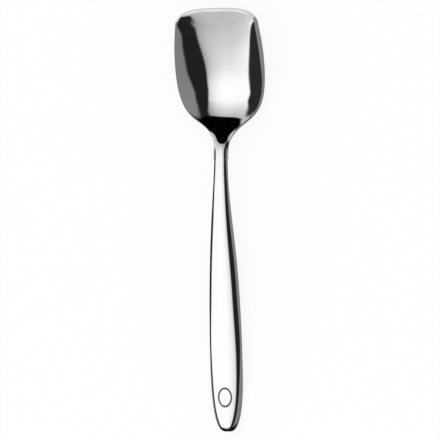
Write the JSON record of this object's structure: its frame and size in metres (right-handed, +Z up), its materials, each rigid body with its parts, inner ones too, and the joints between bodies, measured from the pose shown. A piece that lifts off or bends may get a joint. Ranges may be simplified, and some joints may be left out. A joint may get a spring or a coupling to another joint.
{
  "type": "spoon",
  "caption": "Sugar or ice-cream spoon with a square scoop-like bowl, a slim neck and a rounded hollow handle that widens towards its end.",
  "frame": {"origin": "centre of the spoon's bounding box, on the table that it lies on", "axes": "+Y along the spoon from the end of the handle to the tip of the bowl, +Z up out of the open bowl, +X across it"},
  "size_m": [0.0316, 0.145, 0.0135],
  "materials": {
    "polished_steel": "polished",
    "cement": "matte"
  },
  "bodies": {
    "root": {"bowl_and_tang": "polished_steel", "handle_front_shell": "polished_steel", "handle_back_shell": "polished_steel", "handle_cement": "cement"}
  },
  "joints": []
}
